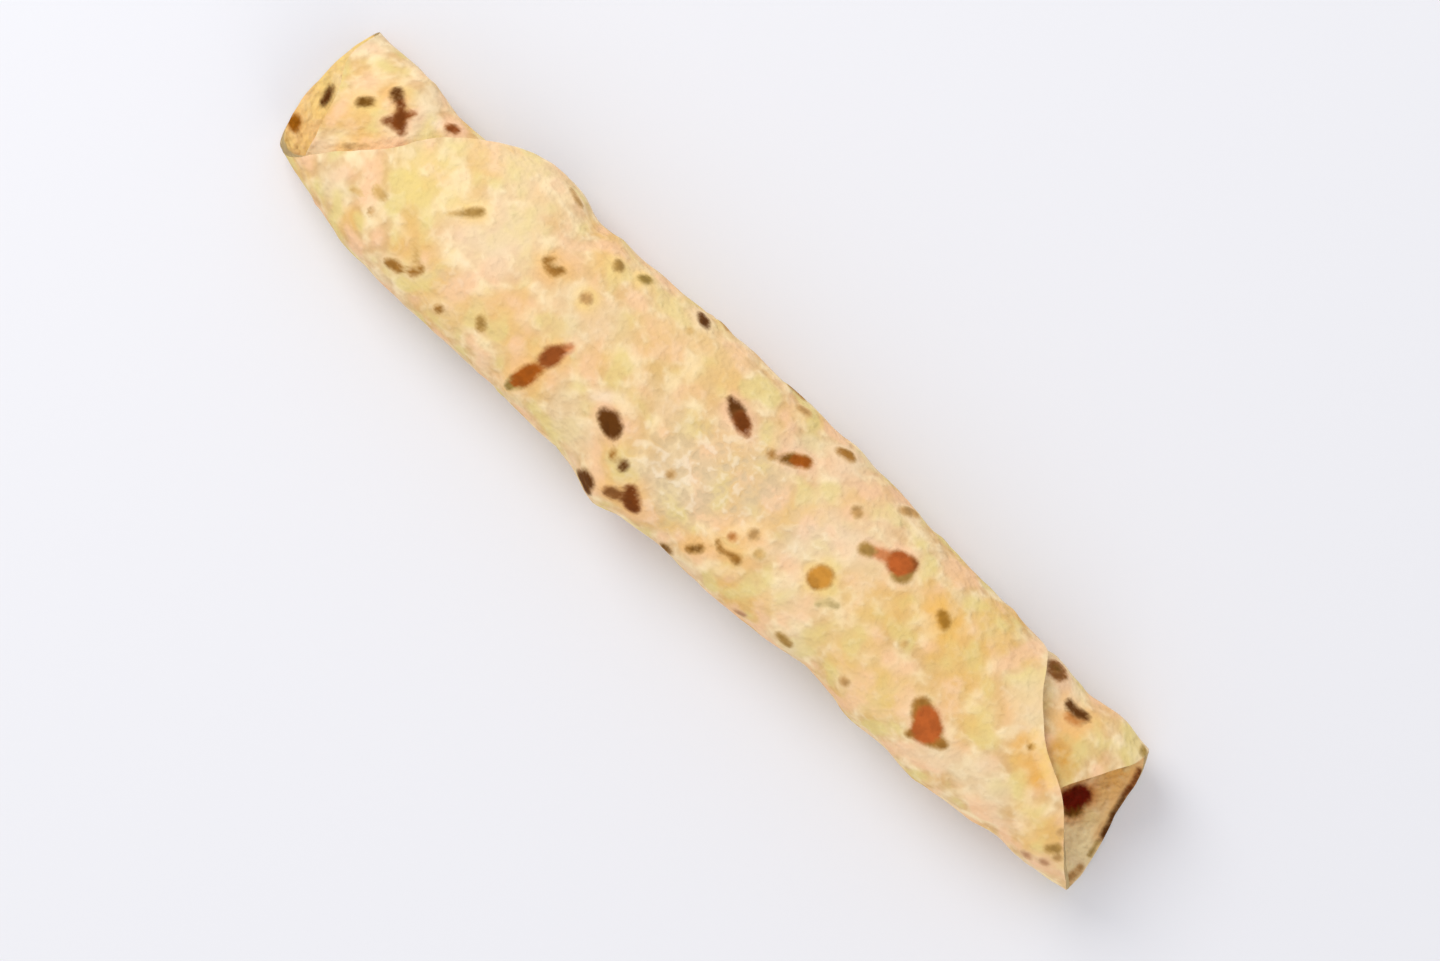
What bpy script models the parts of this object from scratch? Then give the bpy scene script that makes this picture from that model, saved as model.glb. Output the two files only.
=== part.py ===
# A chapati: one round flatbread, rolled up by hand into a loose, slightly flattened tube that
# lies on its seam. X runs along the roll, Z is up, and the origin is on the surface it lies on,
# below the middle of its box.
#
# The bread is first laid out flat, as an uneven disc with u along the roll and v across it. It is
# then wound round X as a spiral of flattened rings. Ring 0 is the outer wrap, with its loose end
# tucked underneath. Ring 1 is the second layer, which shows at both ends. Ring 2 is the inner curl.
# The turn angle is 0 where the outer wrap stands upright on the -Y side, 90 degrees on top, 180 on
# the +Y side and 270 below. It falls below zero as the bread winds inwards. The +X end gapes open,
# and the -X end is squeezed flatter.

import bpy
import bmesh
import numpy as np

MM = 0.001

# The flat bread
BREAD_RADIUS = 110 * MM
BREAD_THICKNESS = 1.8 * MM
RIM_CHAMFER = 0.45 * MM
INNER_END = -108 * MM        # v of the row that is curled in first
LOOSE_END = 109 * MM         # v of the row that is tucked under last
# How each end of the rim leaves a true circle: v of the bulge (or dent), its size and its spread
OPEN_END_RIM = (
    (-33 * MM, -1.2 * MM, 5 * MM),     # wavy edge of the second layer, on top
    (-32 * MM, -9.3 * MM, 30 * MM),    # flat side
    (-18 * MM, 0.9 * MM, 5 * MM),
    (-5 * MM, -2.3 * MM, 7 * MM),      # blunts the far corner
    (10 * MM, -1.4 * MM, 8.5 * MM),    # straightens the lower lip of the mouth
    (38 * MM, 6.3 * MM, 22 * MM),      # lobe that makes the lower front corner
    (53 * MM, -1.7 * MM, 8.5 * MM),    # dents, where the outer wrap stops short
    (62 * MM, -2.4 * MM, 4 * MM),
    (70 * MM, -6.3 * MM, 9.5 * MM),
)
CLOSED_END_RIM = (
    (-22 * MM, -1.6 * MM, 22 * MM),    # slight flat side, the second layer's edge
    (-12 * MM, 1.8 * MM, 6 * MM),      # fills out the blunt far corner
    (8 * MM, 1.5 * MM, 9 * MM),
    (25 * MM, 5.4 * MM, 15 * MM),      # lobe that makes the near corner
    (59 * MM, -2.4 * MM, 8 * MM),      # shallow dents in the outer wrap's edge
    (76 * MM, -1.3 * MM, 6 * MM),
)

# How the bread is rolled
LAYER_GAP = 0.7 * MM         # air between one layer and the next
UPRIGHT_AT = 35 * MM         # v of the line that stands upright on the -Y side
RAMP_START = -62             # turn angle at which a layer starts to climb over the one below it
RAMP_END = -104
TURN_FIRST = -680            # innermost and outermost turn angles that are worked out
TURN_LAST = 320
SIDE_SQUARENESS = 2.35       # exponents of the rings' curves, where 2 would be an ellipse
BASE_SQUARENESS = 2.9
BASE_FLATNESS = 1.12         # depth of the lower curve against the room that it has
BASE_SOFTNESS = 0.35 * MM    # rounding between a ring and its flat base
WIDEST_AT = 0.44             # height of a ring's widest line, as a share of the roll's height
SAG_START = 76 * MM          # distance from the middle at which the second layer sinks to the base
SAG_END = 100 * MM

# Sections along the roll, in millimetres: place, half width of the outer wrap towards -Y, the same
# towards +Y, half width of the second layer towards +Y, and height
SECTIONS = (
    (-112, 13.2, 18.4, 18.4, 16.5),
    (-94, 17.0, 18.4, 16.9, 20.0),
    (-79, 19.2, 18.6, 16.0, 22.5),
    (-64, 19.3, 21.9, 16.2, 24.0),
    (-46, 19.3, 19.8, 16.9, 25.0),
    (-15, 20.8, 21.3, 18.8, 25.5),
    (20, 20.0, 21.7, 19.1, 25.5),
    (48, 18.1, 19.7, 17.1, 25.5),
    (66, 18.7, 19.1, 16.5, 25.5),
    (80, 18.3, 19.9, 18.0, 25.2),
    (96, 16.2, 19.5, 18.2, 24.5),
    (112, 14.6, 18.6, 16.9, 23.0),
)

# Fineness of the mesh, and of the winding that it is read from
CELLS_ALONG = 24
CELLS_ACROSS = 84
ROW_CROWDING = 0.38          # how much closer the rows lie at the two ends that are rolled in
WINDING_STATIONS = 116
WINDING_TURN_STEPS = 2001
WINDING_ARC_STEPS = 1001
SMOOTH_ANGLE = 50            # degrees, above which an edge stays sharp
CHAMFER_ANGLE = 60

CRUST_COLOUR = (0.86, 0.62, 0.33, 1.0)
CRUST_ROUGHNESS = 0.72


def smooth_step(start, end, value):
    """Rises softly from 0 at start to 1 at end."""
    share = np.clip((value - start) / (end - start), 0, 1)
    return share * share * (3 - 2 * share)


def through_sections(x, column):
    """Reads one column of SECTIONS at x, in metres, with a smooth curve through its rows."""
    places, values = (np.array([row[c] for row in SECTIONS]) * MM for c in (0, column))
    slopes = np.gradient(values, places)
    left = np.clip(np.searchsorted(places, x) - 1, 0, len(places) - 2)
    width = places[left + 1] - places[left]
    t = np.clip((x - places[left]) / width, 0, 1)
    ends = values[left] * (1 + 2 * t) * (1 - t) ** 2 + values[left + 1] * t * t * (3 - 2 * t)
    turns = slopes[left] * t * (1 - t) ** 2 - slopes[left + 1] * t * t * (1 - t)
    return ends + turns * width


def soft_floor(height):
    """Keeps a height above the base from going negative, without a crease."""
    soft = (height + BASE_SOFTNESS) ** 2 / (4 * BASE_SOFTNESS)
    return np.where(height > BASE_SOFTNESS, height, np.where(height < -BASE_SOFTNESS, 0, soft))


def ring_number(turn):
    """0 on the outer wrap, 1 on the second layer, 2 on the curl, rising on a ramp underneath."""
    return sum(smooth_step(RAMP_START - 360 * lap, RAMP_END - 360 * lap, turn) for lap in range(2))


def sagging(x, turn):
    """How far the layers over the empty end of the loose edge sink at x, as a share of one layer."""
    lap_turn = (turn + 180) % 360 - 180
    return smooth_step(SAG_START, SAG_END, abs(x)) * smooth_step(RAMP_START, RAMP_END, lap_turn)


def winding_section(x):
    """The bread's middle surface across the roll at x: turn angles, and Y and Z at each."""
    turn = np.linspace(TURN_FIRST, TURN_LAST, WINDING_TURN_STEPS)
    ring = ring_number(turn)
    half = BREAD_THICKNESS / 2
    pitch = BREAD_THICKNESS + LAYER_GAP
    outer_near, outer_far, second_far, height = (through_sections(x, c) for c in (1, 2, 3, 4))

    near = outer_near - half - ring * pitch
    far_first = outer_far + (second_far - outer_far) * np.minimum(ring, 1)
    far = far_first - half - np.maximum(ring - 1, 0) * pitch
    top = height - half - ring * pitch
    base = half + np.maximum(ring - sagging(x, turn), 0) * pitch

    widest = WIDEST_AT * height
    across = np.cos(np.radians(turn))
    rise = np.sin(np.radians(turn))
    side = np.abs(across) ** (2 / SIDE_SQUARENESS)
    y = np.where(across > 0, -near, far) * side
    above = widest + (top - widest) * np.abs(rise) ** (2 / SIDE_SQUARENESS)
    drop = (widest - base) * BASE_FLATNESS * np.abs(rise) ** (2 / BASE_SQUARENESS)
    below = base + soft_floor(widest - drop - base)
    return turn, y, np.where(rise >= 0, above, below)


def winding_table():
    """Y and Z of the middle surface on an even grid of places along the roll and across the bread."""
    reach = BREAD_RADIUS + 10 * MM
    along = np.linspace(-reach, reach, WINDING_STATIONS)
    across = np.linspace(-reach, reach, WINDING_ARC_STEPS)
    rows = []
    for x in along:
        turn, y, z = winding_section(x)
        arc = np.concatenate(([0], np.cumsum(np.hypot(np.diff(y), np.diff(z)))))
        v = arc - np.interp(0, turn, arc) + UPRIGHT_AT
        rows.append((np.interp(across, v, y), np.interp(across, v, z)))
    return along, across, np.array(rows)


def wind(u, v, table):
    """Where the flat bread's points (u, v) go on the roll."""
    along, across, rows = table
    at_u = np.clip((u - along[0]) / (along[1] - along[0]), 0, len(along) - 1.001)
    at_v = np.clip((v - across[0]) / (across[1] - across[0]), 0, len(across) - 1.001)
    i, j = at_u.astype(int), at_v.astype(int)
    fu, fv = at_u - i, at_v - j
    place = [
        rows[i, axis, j] * (1 - fu) * (1 - fv) + rows[i + 1, axis, j] * fu * (1 - fv)
        + rows[i, axis, j + 1] * (1 - fu) * fv + rows[i + 1, axis, j + 1] * fu * fv
        for axis in (0, 1)
    ]
    return np.column_stack((u, place[0], place[1]))


def half_length(v, rim_shape):
    """How far the bread reaches along u, on one side of its middle, at each v."""
    length = np.sqrt(BREAD_RADIUS ** 2 - v ** 2)
    for place, bulge, spread in rim_shape:
        length += bulge * np.exp(-((v - place) / spread) ** 2)
    return length


def square_to_bread(a, b):
    """Stretches a square of side 2 over the flat bread, in rows of one v each."""
    eased = (1 - ROW_CROWDING) * b + ROW_CROWDING * np.sin(np.pi / 2 * b)
    v = INNER_END + (LOOSE_END - INNER_END) * (eased + 1) / 2
    u = np.where(a > 0, a * half_length(v, OPEN_END_RIM), a * half_length(v, CLOSED_END_RIM))
    return u, v


def make_crust_material():
    material = bpy.data.materials.new("chapati_crust")
    material.use_nodes = True
    shader = material.node_tree.nodes["Principled BSDF"]
    shader.inputs["Base Color"].default_value = CRUST_COLOUR
    shader.inputs["Roughness"].default_value = CRUST_ROUGHNESS
    shader.inputs["Metallic"].default_value = 0.0
    return material


def make_rolled_sheet():
    """The bread's middle surface, as an open mesh."""
    sheet = bmesh.new()
    bmesh.ops.create_grid(sheet, x_segments=CELLS_ALONG, y_segments=CELLS_ACROSS, size=1)
    flat = np.array([vertex.co for vertex in sheet.verts])
    u, v = square_to_bread(flat[:, 0], flat[:, 1])
    places = wind(u, v, winding_table())
    places[:, :2] -= (places[:, :2].min(axis=0) + places[:, :2].max(axis=0)) / 2
    for vertex, place in zip(sheet.verts, places):
        vertex.co = place
    mesh = bpy.data.meshes.new("chapati")
    sheet.to_mesh(mesh)
    sheet.free()
    return mesh


def make_chapati(collection):
    chapati = bpy.data.objects.new("chapati", make_rolled_sheet())
    collection.objects.link(chapati)
    chapati.data.materials.append(make_crust_material())

    wall = chapati.modifiers.new("Thickness", "SOLIDIFY")
    wall.thickness = BREAD_THICKNESS
    wall.offset = 0
    wall.use_even_offset = True

    rim = chapati.modifiers.new("RimChamfer", "BEVEL")
    rim.width = RIM_CHAMFER
    rim.segments = 1
    rim.limit_method = "ANGLE"
    rim.angle_limit = np.radians(CHAMFER_ANGLE)

    chapati.data.shade_smooth()
    chapati.data.set_sharp_from_angle(angle=np.radians(SMOOTH_ANGLE))
    return chapati


def main():
    for old in list(bpy.data.objects):
        bpy.data.objects.remove(old, do_unlink=True)
    collection = bpy.data.collections.new("rolled_chapati")
    bpy.context.scene.collection.children.link(collection)
    make_chapati(collection)


main()
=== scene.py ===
import math

import bmesh
import bpy
import numpy as np
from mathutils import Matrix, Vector


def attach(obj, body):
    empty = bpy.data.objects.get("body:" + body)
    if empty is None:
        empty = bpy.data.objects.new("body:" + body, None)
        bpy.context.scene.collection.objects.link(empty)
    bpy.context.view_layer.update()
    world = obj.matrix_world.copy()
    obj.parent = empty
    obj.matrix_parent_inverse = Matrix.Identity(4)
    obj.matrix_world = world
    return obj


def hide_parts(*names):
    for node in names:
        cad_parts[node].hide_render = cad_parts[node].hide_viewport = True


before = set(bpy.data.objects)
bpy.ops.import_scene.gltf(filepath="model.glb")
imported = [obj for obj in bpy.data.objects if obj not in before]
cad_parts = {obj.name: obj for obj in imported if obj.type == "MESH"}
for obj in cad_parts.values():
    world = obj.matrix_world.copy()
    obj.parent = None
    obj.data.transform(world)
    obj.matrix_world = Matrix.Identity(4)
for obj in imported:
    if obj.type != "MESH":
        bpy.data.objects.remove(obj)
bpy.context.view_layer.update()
mm = 0.001
print("frame loaded")

# The bread is made flat, with u along the roll and v across it, and then wound up round X
bread = {
    "radius": 110 * mm,
    "thickness": 1.8 * mm,
    "innerEnd": -108 * mm,                      # v of the row that is curled in first
    "looseEnd": 109 * mm,                       # v of the row that is tucked under last
    # how each end of the rim leaves a true circle: v, bulge and spread, in mm
    "openEndRim": (
        (-33, -1.2, 5), (-32, -9.3, 30), (-18, 0.9, 5), (-5, -2.3, 7), (10, -1.4, 8.5),
        (38, 6.3, 22), (53, -1.7, 8.5), (62, -2.4, 4), (70, -6.3, 9.5)),
    "closedEndRim": (
        (-22, -1.6, 22), (-12, 1.8, 6), (8, 1.5, 9), (25, 5.4, 15), (59, -2.4, 8), (76, -1.3, 6)),
    "cellsAlong": 224,
    "cellsAcross": 196,
    # how close the rows lie: everywhere, more from the second layer on, and more on the outside
    "rowDensity": (0.45, 0.55, 0.55),
    "secondLayerFrom": (-34 * mm, -26 * mm),
    "outsideFrom": (28 * mm, 36 * mm),
    "outsideTo": (96 * mm, 88 * mm),
    "rimColumns": 1.6,                          # how much closer the columns lie near the rim
    "rimColumnsFrom": (0.955, 0.975),           # share of the way from the middle to the rim
    "fineSteps": 2001,                          # steps in which the rows and columns are worked out
    # small waves of the rim: height, length, how far apart the two ends are read, and seed
    "rimWaves": ((0.3 * mm, 7 * mm, 0.5, 3), (0.15 * mm, 2.5 * mm, 1, 4)),
    "wavesFrom": (0.9, 1),
    "rimRounding": 0.62 * mm,
    "roundedFrom": 60,                          # angle of an edge, in degrees
    "rimThinning": (0.3, 6),                    # how far each face draws in, and where it starts, in mm
}

winding = {
    "layerGap": 0.7 * mm,
    "uprightAt": 35 * mm,                       # v of the line that stands upright on the -Y side
    "ramp": (-62, -104),                        # turn angles over which a layer climbs the one below
    "turns": (-680, 320),
    "turnSteps": 2001,
    "tableMargin": 10 * mm,
    "tableSize": (116, 1001),                   # places worked out along and across the flat bread
    "sideSquareness": 2.35,
    "baseSquareness": 2.9,
    "baseFlatness": 1.12,
    "baseSoftness": 0.35 * mm,
    "widestAt": 0.44,
    "sag": (76 * mm, 100 * mm),
    # place, half width of the outer wrap at -Y and +Y, of the second layer at +Y, and height, in mm
    "sections": (
        (-112, 13.2, 18.4, 18.4, 16.5),
        (-94, 17.0, 18.4, 16.9, 20.0),
        (-79, 19.2, 18.6, 16.0, 22.5),
        (-64, 19.3, 21.9, 16.2, 24.0),
        (-46, 19.3, 19.8, 16.9, 25.0),
        (-15, 20.8, 21.3, 18.8, 25.5),
        (20, 20.0, 21.7, 19.1, 25.5),
        (48, 18.1, 19.7, 17.1, 25.5),
        (66, 18.7, 19.1, 16.5, 25.5),
        (80, 18.3, 19.9, 18.0, 25.2),
        (96, 16.2, 19.5, 18.2, 24.5),
        (112, 14.6, 18.6, 16.9, 23.0),
    ),
}


farAway = 50.0                                  # further than any stroke reaches, in mm


def smoothStep(start, end, value):
    share = np.clip((value - start) / (end - start), 0, 1)
    return share * share * (3 - 2 * share)


def throughSections(x, column):
    places, values = (np.array([row[c] for row in winding["sections"]]) * mm for c in (0, column))
    slopes = np.gradient(values, places)
    left = np.clip(np.searchsorted(places, x) - 1, 0, len(places) - 2)
    width = places[left + 1] - places[left]
    t = np.clip((x - places[left]) / width, 0, 1)
    ends = values[left] * (1 + 2 * t) * (1 - t) ** 2 + values[left + 1] * t * t * (3 - 2 * t)
    return ends + (slopes[left] * t * (1 - t) ** 2 - slopes[left + 1] * t * t * (1 - t)) * width


def ringNumber(turn):
    start, end = winding["ramp"]
    return sum(smoothStep(start - 360 * lap, end - 360 * lap, turn) for lap in range(2))


def windingSection(x):
    turn = np.linspace(*winding["turns"], winding["turnSteps"])
    ring = ringNumber(turn)
    lapTurn = (turn + 180) % 360 - 180
    sagging = smoothStep(*winding["sag"], abs(x)) * smoothStep(*winding["ramp"], lapTurn)
    half = bread["thickness"] / 2
    pitch = bread["thickness"] + winding["layerGap"]
    outerNear, outerFar, secondFar, height = (throughSections(x, c) for c in (1, 2, 3, 4))
    near = outerNear - half - ring * pitch
    far = outerFar + (secondFar - outerFar) * np.minimum(ring, 1) - half
    far = far - np.maximum(ring - 1, 0) * pitch
    top = height - half - ring * pitch
    base = half + np.maximum(ring - sagging, 0) * pitch
    widest = winding["widestAt"] * height
    across, rise = np.cos(np.radians(turn)), np.sin(np.radians(turn))
    y = np.where(across > 0, -near, far) * np.abs(across) ** (2 / winding["sideSquareness"])
    above = widest + (top - widest) * np.abs(rise) ** (2 / winding["sideSquareness"])
    drop = (widest - base) * winding["baseFlatness"] * np.abs(rise) ** (2 / winding["baseSquareness"])
    lift, soft = widest - drop - base, winding["baseSoftness"]
    lift = np.where(lift > soft, lift, np.where(lift < -soft, 0, (lift + soft) ** 2 / (4 * soft)))
    return turn, y, np.where(rise >= 0, above, base + lift)


def makeWindingTable():
    reach = bread["radius"] + winding["tableMargin"]
    along, across = (np.linspace(-reach, reach, count) for count in winding["tableSize"])
    rows = []
    for x in along:
        turn, y, z = windingSection(x)
        arc = np.concatenate(([0], np.cumsum(np.hypot(np.diff(y), np.diff(z)))))
        v = arc - np.interp(0, turn, arc) + winding["uprightAt"]
        rows.append((np.interp(across, v, y), np.interp(across, v, z)))
    return along, across, np.array(rows)


windingTable = makeWindingTable()
rollCentre = np.zeros(3)


def wind(u, v):
    # where the flat places go on the roll
    along, across, rows = windingTable
    atU = np.clip((u - along[0]) / (along[1] - along[0]), 0, len(along) - 1.001)
    atV = np.clip((v - across[0]) / (across[1] - across[0]), 0, len(across) - 1.001)
    i, j = atU.astype(int), atV.astype(int)
    fu, fv = atU - i, atV - j
    y, z = (
        rows[i, k, j] * (1 - fu) * (1 - fv) + rows[i + 1, k, j] * fu * (1 - fv)
        + rows[i, k, j + 1] * (1 - fu) * fv + rows[i + 1, k, j + 1] * fu * fv
        for k in range(2)
    )
    return np.column_stack((u, y, z)) - rollCentre


def halfLength(v, rimShape):
    length = np.sqrt(bread["radius"] ** 2 - v ** 2)
    for place, bulge, spread in rimShape:
        length = length + bulge * mm * np.exp(-((v - place * mm) / (spread * mm)) ** 2)
    return length


def findRollCentre():
    rowCount, columnCount = 400, 60
    v = np.repeat(np.linspace(bread["innerEnd"], bread["looseEnd"], rowCount), columnCount)
    share = np.tile(np.linspace(-1, 1, columnCount), rowCount)
    rims = halfLength(v, bread["openEndRim"]), halfLength(v, bread["closedEndRim"])
    places = wind(share * np.where(share > 0, *rims), v)
    return (places.min(axis=0) + places.max(axis=0)) / 2 * (1, 1, 0)


rollCentre = findRollCentre()
print("winding worked out")


def cloud(x, y, size, seed):
    # soft random field between about -1 and 1, with lumps of the given size
    cells = 64
    grid = np.random.default_rng(seed).uniform(-1, 1, (cells, cells))
    atX, atY = x / size + 1000.37, y / size + 1000.61           # well away from 0, and off the grid's lines
    i, j = np.floor(atX).astype(int), np.floor(atY).astype(int)
    fx, fy = smoothStep(0, 1, atX - i), smoothStep(0, 1, atY - j)
    corners = [grid[(i + a) % cells, (j + b) % cells] for a in (0, 1) for b in (0, 1)]
    return (corners[0] * (1 - fy) + corners[1] * fy) * (1 - fx) + (
        corners[2] * (1 - fy) + corners[3] * fy) * fx


def paint(red, green, blue):
    # a colour as it is mixed, out of 255, for a shader
    share = np.array((red, green, blue)) / 255
    return tuple(np.where(share <= 0.04045, share / 12.92, ((share + 0.055) / 1.055) ** 2.4)) + (1.0,)


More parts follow.
